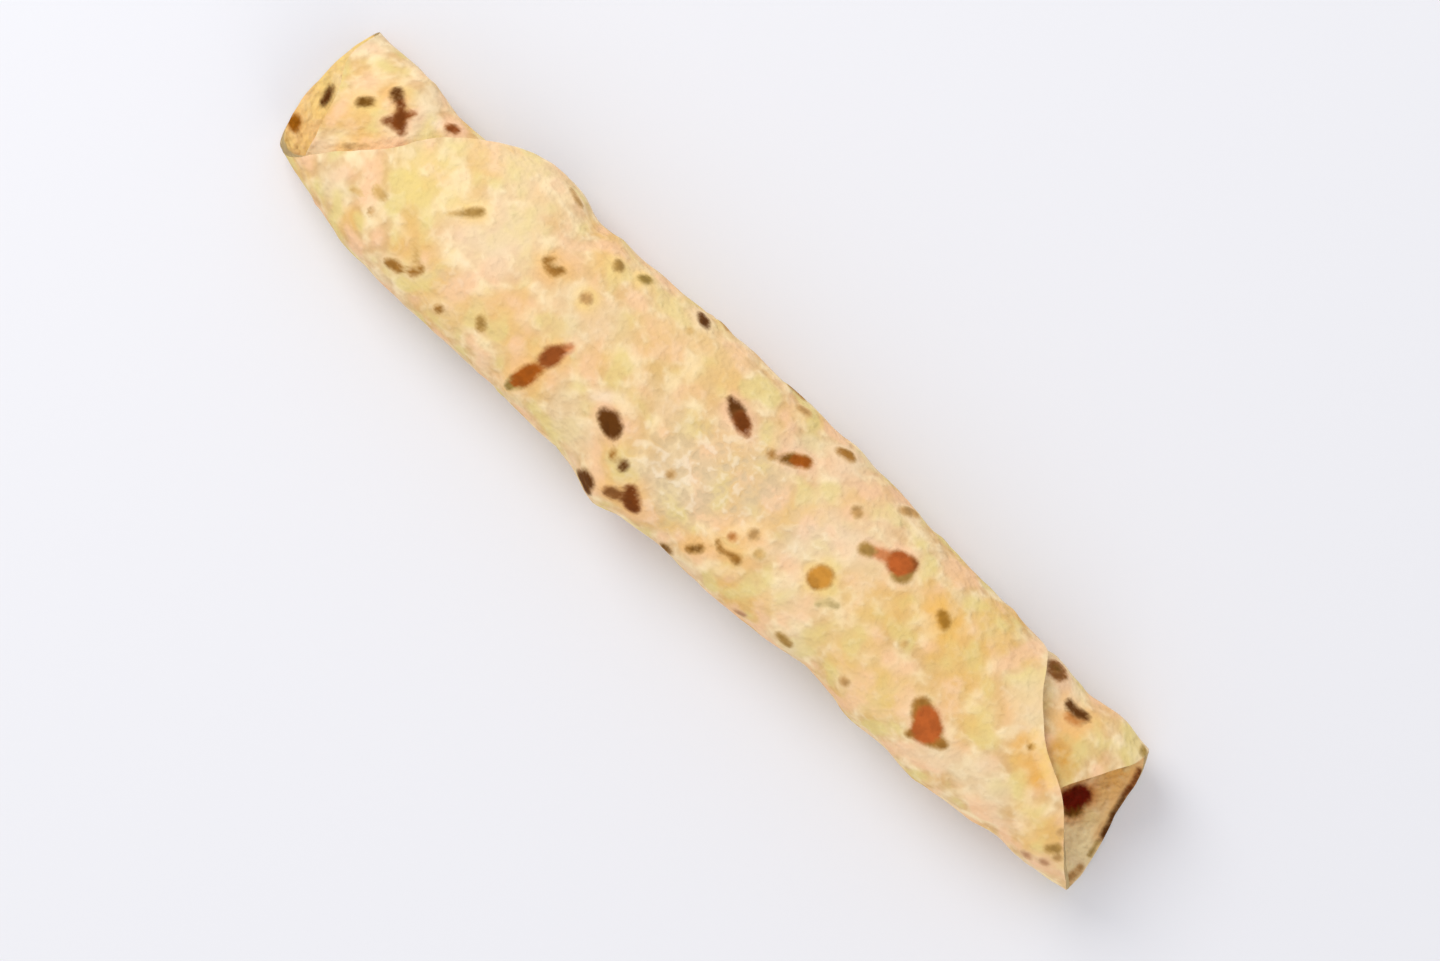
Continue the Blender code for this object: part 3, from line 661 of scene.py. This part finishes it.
# Soft patches of colour on the faces
tinting = {
    "tints": {
        "gold": paint(232, 188, 108),
        "yellow": paint(240, 213, 134),
        "rose": paint(247, 201, 160),
        "flour": paint(224, 204, 174),
        "pale": paint(255, 234, 206),
        "orange": paint(248, 192, 112),
        # painted shadow of the flap on the second layer
        "goldenFlapShadow": paint(218, 162, 78),
        "amber": paint(238, 178, 88),
        # painted light: a pale streak where the flap's edge catches the light, and paler patches inside the
        # -X opening
        "paintedLightStraw": paint(255, 226, 142),
        "cream": paint(255, 228, 172),
        # painted light inside the -X opening
        "paintedLightSun": paint(255, 214, 132),
        # painted light over the shade inside the +X opening
        "paintedLightSand": paint(255, 236, 184),
        "shade": paint(198, 158, 92),
        "dun": paint(230, 192, 134),
        "blush": paint(248, 220, 176),
    },
    # face, tint, strength, reach in mm, and the strokes' places on the flat bread
    "patches": (
        ("outer", "dun", 0.45, 16, ((-46, 62, 3), (-10, 62, 3), (2, 58, 2))),
        ("outer", "yellow", 0.8, 6, ((-81, 61, 2), (-76, 62, 1))),
        ("outer", "gold", 0.7, 9, ((-24, 73, 3), (-18, 77, 3))),
        ("outer", "yellow", 0.6, 6, ((43, 52, 2),)),
        ("outer", "gold", 0.6, 6, ((66, 62, 2), (70, 60, 2))),
        ("outer", "gold", 0.8, 5, ((40, 60, 2),)),
        ("outer", "dun", 0.5, 6, ((39, 56, 2),)),
        ("outer", "gold", 0.7, 6, ((52, 68, 2),)),
        ("outer", "orange", 0.5, 5, ((42, 66, 2),)),
        ("outer", "cream", 0.6, 6, ((78, 69, 2),)),
        ("outer", "blush", 0.7, 6, ((-92, 76, 2), (-62, 78, 2))),
        ("outer", "blush", 0.6, 5, ((-28, 78, 1), (-14, 77, 1))),
        ("outer", "blush", 0.6, 7, ((-64, 66, 2),)),
        ("outer", "yellow", 0.6, 5, ((55, 49, 1),)),
        ("outer", "yellow", 0.6, 4, ((-60, 47, 1),)),
        ("outer", "flour", 0.85, 10, ((-4, 56, 2), (4, 62, 2))),
        ("outer", "flour", 0.5, 5, ((24, 62, 1),)),
        ("outer", "flour", 0.4, 5, ((-64, 52, 1),)),
        ("outer", "rose", 0.5, 8, ((-60, 56, 2), (-54, 60, 2))),
        ("outer", "rose", 0.6, 6, ((-40, 82, 1), (-34, 84, 1))),
        ("outer", "rose", 0.6, 4, ((-3, 68, 1),)),
        ("outer", "rose", 0.6, 7, ((22, 78, 1), (28, 76, 1))),
        ("outer", "pale", 0.6, 7, ((24, 66, 1), (30, 66, 1))),
        ("outer", "rose", 0.6, 4, ((80, -18, 1), (84, -21, 1))),
        ("outer", "rose", 0.8, 1.5, ((-85, -11.5, 0.5),)),
        ("outer", "pale", 0.6, 5, ((-60, 66, 2), (-66, 60, 1))),
        ("outer", "rose", 0.7, 3, ((102, 42, 1), (105, 44, 1))),
        ("outer", "pale", 0.9, 1, ((-27, 55, 0.4), (-22.6, 58.4, 0.5))),
        ("outer", "pale", 0.9, 0.8, ((-87.4, -15.1, 0.4),)),
        ("outer", "orange", 0.6, 4, ((9, 49, 0.5), (16, 54, 0.5))),
        ("outer", "yellow", 0.5, 4, ((60, 74.5, 1),)),
        ("outer", "orange", 0.5, 5, ((72, 62, 1),)),
        ("outer", "dun", 0.6, 4, ((46, 52.5, 1),)),
        ("outer", "gold", 0.5, 7, ((38, 61.5, 2), (42, 63, 2))),
        ("outer", "gold", 0.4, 6, ((-16, 68, 2), (-12, 61, 2))),
        ("outer", "blush", 0.5, 5, ((29, 50.5, 1),)),
        ("outer", "orange", 1.0, 2.4, ((56.6, 68.8, 0.8),)),
        ("outer", "amber", 1.0, 2.4, ((82.5, 60.6, 1.0), (85.6, 58.8, 1.2), (88.6, 57.2, 0.8))),
        # painted highlight: a pale straw streak where the flap's edge catches the light at the +X end
        ("outer", "paintedLightStraw", 1.0, 1.0, ((82.5, 63.8, 0.4), (87.8, 60.4, 0.5), (91.9, 57.6, 0.4))),
        ("outer", "orange", 0.8, 1.6, ((85, -24.6, 0.5), (88.5, -23.3, 0.6))),
        # painted shadow: the flap's edge at the +X end shades the second layer, as a golden darker patch
        # and a narrow shade band
        ("outer", "goldenFlapShadow", 1.0, 2.2, ((88.9, -29, 1.0), (92.2, -31.4, 1.0))),
        ("outer", "shade", 0.9, 1.2, ((78.2, -21.0, 0.2), (81.7, -24.3, 0.4), (83.6, -26.2, 0.3))),
        # inside the -X opening: paler yellow patches, partly the inner face's own yellow and partly painted
        # light where light reaches it
        ("inner", "paintedLightStraw", 0.9, 5, ((-112, 6, 1), (-110, 14, 1))),
        ("inner", "paintedLightSun", 1.0, 6, ((-110, 20, 1), (-109, 27, 1))),
        ("inner", "paintedLightStraw", 1.0, 5, ((-108, 34, 2),)),
        # inside the +X opening: a lighter amber, partly the inner face's own tone and partly painted light,
        # and a pale sand patch that is painted light over the shade in the tube's mouth
        ("inner", "amber", 1.0, 6, ((106, 4, 1), (102, 9, 1))),
        ("inner", "paintedLightSand", 1.0, 8, ((106, 24, 2), (104, 18, 1))),
    ),
    "dust": 0.15,                               # flour everywhere, beside the floury patches
}


def addPatches(mesh, u, v, side):
    tint = np.tile(tinting["tints"]["gold"], (len(u), 1))
    most = np.zeros(len(u))
    dust = np.full(len(u), tinting["dust"])
    for face, name, strength, reach, stroke in tinting["patches"]:
        onFace = side > 0 if face == "outer" else side < 0
        away = np.maximum(-strokeDistance(u, v, stroke), 0) / reach
        amount = onFace * strength * np.exp(-away ** 2)
        share = (amount / np.maximum(amount + most, 1e-4))[:, None]
        tint = tint * (1 - share) + np.array(tinting["tints"][name]) * share
        most = np.maximum(most, amount)
        dust = np.maximum(dust, amount * (name == "flour"))
    writeValues(mesh, "tint", tint)
    writeValues(mesh, "tintAmount", most)
    writeValues(mesh, "dust", dust)


def setInput(tree, made, name, value):
    if isinstance(value, bpy.types.NodeSocket):
        tree.links.new(value, made.inputs[name])
    else:
        made.inputs[name].default_value = value


def addNode(tree, kind, inputs, **settings):
    made = tree.nodes.new(kind)
    for name, value in settings.items():
        setattr(made, name, value)
    for name, value in inputs.items():
        setInput(tree, made, name, value)
    return made


def mixColours(tree, factor, first, second):
    # inputs 0, 6 and 7 are the factor and the two colours
    return addNode(tree, "ShaderNodeMix", {0: factor, 6: first, 7: second}, data_type="RGBA").outputs[2]


def doMaths(tree, operation, first, second):
    return addNode(tree, "ShaderNodeMath", {0: first, 1: second}, operation=operation).outputs[0]


def ease(tree, value, low, high, start=0.0, end=1.0):
    return addNode(tree, "ShaderNodeMapRange", {
        "Value": value, "From Min": low, "From Max": high, "To Min": start, "To Max": end,
    }, interpolation_type="SMOOTHSTEP").outputs["Result"]


def addNoise(tree, place, size, detail):
    return addNode(tree, "ShaderNodeTexNoise", {
        "Vector": place, "Scale": 1 / (size * mm), "Detail": detail}).outputs["Fac"]


crust = {
    "cream": paint(221, 180, 125),
    "pale": paint(253, 228, 180),
    "gold": paint(231, 184, 106),
    "lime": paint(230, 209, 134),
    "rose": paint(248, 200, 156),
    "flour": paint(236, 212, 172),
    "fleck": paint(250, 234, 208),
    # painted shade in the dips of the small bumps
    "dip": paint(208, 184, 144),
    "bran": paint(190, 142, 86),
    "innerFace": paint(248, 200, 126),
    "cutRim": paint(255, 220, 156),
    "soot": (0.04, 0.012, 0.002, 1),
    "facesApart": (1, 1, 30),                   # stretches the thickness, so that the two faces differ
    # soft lumps that break up the colour: size in mm and amount of detail
    "broad": (14, 2),
    "warmth": (7, 1.5),
    "middle": (4.6, 1),
    "small": (2.0, 1),
    "grain": (0.5, 1),
    "warmthShift": (0.31, 0.17, 0),
    "middleShift": (0.12, 0.43, 0),
    "mottleParts": (0.6, 0.35, 0.05),           # of the middle and small lumps and the grain
    "raggedGrain": 0.5,                         # how much the grain breaks up the edge of a mark
    "raggedMiddle": 0.75,
    "bumpParts": (0.9, 0.1),                    # of the small lumps and the grain
    "branSize": 2.2,                            # distance between specks of bran, in mm
    "branRadius": (0.35, 0.65, 0.02, 0.12),     # from warmth, as shares of that distance
    "branStrength": 0.1,
    # where each colour sets in over its lumps: from, to, and its least and greatest strength there
    "paleOver": (0.34, 0.66),
    "goldOver": (0.48, 0.64, 0, 0.8),
    "roseOver": (0.5, 0.66, 0, 0.8),
    "limeOver": (0.5, 0.34, 0, 0.75),
    "flourOver": (0.48, 0.34, 0, 0.6),
    "fleckOver": (0.52, 0.68, 0, 0.5),
    "dipOver": (0.48, 0.34, 0, 0.6),
    "tintOver": (0.36, 0.6, 1, 0.45),
    "haloOver": (0.36, 0.6, 1, 0.6),
    "sootOver": (0.35, 0.7, 0, 0.22),
    "innerOver": (-0.6, -0.9, 0, 0.5),          # over the side of the bread, as are the next two
    "rimBelow": (0.99, 0.8),
    "rimAbove": (-0.99, -0.8),
    "toastOver": (-1.0, 0.5),                   # over the depth inside a mark, as is the next
    "rimOutsideMarks": (-0.6, 0.4, 0.85, 0.1),
    "bumpDepth": 0.8 * mm,
    "roughness": 0.85,
    "sheen": 0.12,
}


def makeCrust():
    material = bpy.data.materials.new("toastedCrust")
    material.use_nodes = True
    tree = material.node_tree
    shader = tree.nodes["Principled BSDF"]

    def read(name, output="Fac"):
        return addNode(tree, "ShaderNodeAttribute", {}, attribute_name=name).outputs[output]

    def shifted(name):
        return addNode(tree, "ShaderNodeMapping", {"Vector": apart, "Location": crust[name]}).outputs[0]

    def plus(first, second):
        return doMaths(tree, "ADD", first, second)

    def times(first, second):
        return doMaths(tree, "MULTIPLY", first, second)

    def over(value, name):
        return ease(tree, value, *crust[name])

    flat = read("flatPlace", "Vector")
    apart = addNode(tree, "ShaderNodeMapping", {"Vector": flat, "Scale": crust["facesApart"]}).outputs[0]
    field, side, dust = read("toastField"), read("sideOfBread"), read("dust")
    broad = addNoise(tree, apart, *crust["broad"])
    warmth = addNoise(tree, shifted("warmthShift"), *crust["warmth"])
    middle = addNoise(tree, shifted("middleShift"), *crust["middle"])
    small = addNoise(tree, apart, *crust["small"])
    grain = addNoise(tree, flat, *crust["grain"])

    # paler where the crust stands up and yellower in its dips, which is partly its own tone and partly
    # painted light and shade of its small bumps, and drifting between pink and green
    ofMiddle, ofSmall, ofGrain = crust["mottleParts"]
    mottle = plus(times(middle, ofMiddle), plus(times(small, ofSmall), times(grain, ofGrain)))
    base = mixColours(tree, over(mottle, "paleOver"), crust["cream"], crust["pale"])
    for lumps, colour in ((broad, "gold"), (warmth, "rose"), (warmth, "lime"), (broad, "flour")):
        base = mixColours(tree, over(lumps, colour + "Over"), base, crust[colour])
    tinted = times(read("tintAmount"), over(mottle, "tintOver"))
    base = mixColours(tree, tinted, base, read("tint", "Color"))
    # where flour lies: paler flecks on the small bumps' tops, and darker colour in their dips that is
    # painted shade
    for colour in ("fleck", "dip"):
        base = mixColours(tree, times(dust, over(small, colour + "Over")), base, crust[colour])
    onInner = times(over(side, "innerOver"), ease(tree, read("tintAmount"), 0, 1, 1, 0))
    base = mixColours(tree, onInner, base, crust["innerFace"])

    specks = addNode(tree, "ShaderNodeTexVoronoi", {
        "Vector": apart, "Scale": 1 / (crust["branSize"] * mm)})
    bran = doMaths(tree, "LESS_THAN", specks.outputs["Distance"], over(warmth, "branRadius"))
    base = mixColours(tree, times(bran, crust["branStrength"]), base, crust["bran"])

    # toasted marks, with a ragged edge, over their halos
    haze = times(read("haloAmount"), over(mottle, "haloOver"))
    base = mixColours(tree, haze, base, read("toastHalo", "Color"))
    ragged = plus(small, times(grain, crust["raggedGrain"]))
    edge = plus(field, plus(ragged, -crust["raggedMiddle"]))
    scorch = mixColours(tree, over(small, "sootOver"), read("toastColour", "Color"), crust["soot"])
    base = mixColours(tree, over(edge, "toastOver"), base, scorch)

    onRim = times(over(side, "rimBelow"), over(side, "rimAbove"))
    onRim = times(onRim, over(edge, "rimOutsideMarks"))
    base = mixColours(tree, onRim, base, crust["cutRim"])

    ofSmall, ofGrain = crust["bumpParts"]
    bump = addNode(tree, "ShaderNodeBump", {
        "Height": plus(times(small, ofSmall), times(grain, ofGrain)), "Strength": 1.0,
        "Distance": crust["bumpDepth"]})
    for name, value in (
            ("Base Color", base), ("Roughness", crust["roughness"]),
            ("Specular IOR Level", crust["sheen"]), ("Normal", bump.outputs["Normal"])):
        setInput(tree, shader, name, value)
    return material


def makeChapati():
    chapati = thicken(makeSheet())
    u, v, side = sculpt(chapati)
    addPatches(chapati.data, u, v, side)
    chapati.data.materials.clear()
    chapati.data.materials.append(makeCrust())
    chapati.data.shade_smooth()
    return chapati


chapati = makeChapati()
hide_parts("chapati")
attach(chapati, "root")
print("bread rolled,", len(chapati.data.polygons), "faces")

studio = {
    "floor": paint(236, 236, 240),
    "floorHalfWidth": 2.5,
    "floorRoughness": 0.9,
    "floorSheen": 0.1,
    "skyColour": (1.0, 1.0, 1.02, 1.0),
    "skyStrength": 0.72,
    "mainLight": {"at": (-0.82, 0.22, 0.8), "size": 0.75, "watts": 6.1},
    "fillLight": {"at": (1.1, -0.65, 0.44), "size": 0.9, "watts": 3.2},
    "cameraPlace": (0.0036, -0.0026, 0.850),
    "cameraTurn": 43.08,
    "lens": 103.9,
    "nearest": 0.01,                            # nothing nearer to the camera is drawn
}


def makeFloor():
    floorMesh = bmesh.new()
    bmesh.ops.create_grid(floorMesh, x_segments=1, y_segments=1, size=studio["floorHalfWidth"])
    mesh = bpy.data.meshes.new("floor")
    floorMesh.to_mesh(mesh)
    floorMesh.free()
    floor = bpy.data.objects.new("floor", mesh)
    bpy.context.scene.collection.objects.link(floor)
    material = bpy.data.materials.new("paleFloor")
    material.use_nodes = True
    shader = material.node_tree.nodes["Principled BSDF"]
    shader.inputs["Base Color"].default_value = studio["floor"]
    shader.inputs["Roughness"].default_value = studio["floorRoughness"]
    shader.inputs["Specular IOR Level"].default_value = studio["floorSheen"]
    mesh.materials.append(material)


def makeLight(name, at, size, watts):
    light = bpy.data.lights.new(name, "AREA")
    light.shape = "DISK"
    light.size = size
    light.energy = watts
    lamp = bpy.data.objects.new(name, light)
    lamp.location = at
    lamp.rotation_euler = (-Vector(at)).to_track_quat("-Z", "Y").to_euler()
    bpy.context.scene.collection.objects.link(lamp)


def makeStudio():
    scene = bpy.context.scene
    makeFloor()
    makeLight("mainLight", **studio["mainLight"])
    makeLight("fillLight", **studio["fillLight"])
    world = bpy.data.worlds.new("studio")
    scene.world = world
    world.use_nodes = True
    background = world.node_tree.nodes["Background"]
    background.inputs["Color"].default_value = studio["skyColour"]
    background.inputs["Strength"].default_value = studio["skyStrength"]
    camera = bpy.data.cameras.new("camera")
    camera.lens = studio["lens"]
    camera.clip_start = studio["nearest"]
    eye = bpy.data.objects.new("camera", camera)
    eye.location = studio["cameraPlace"]
    eye.rotation_euler = (0, 0, math.radians(studio["cameraTurn"]))
    scene.collection.objects.link(eye)
    scene.camera = eye
    scene.view_settings.view_transform = "Standard"


makeStudio()
print("studio ready")
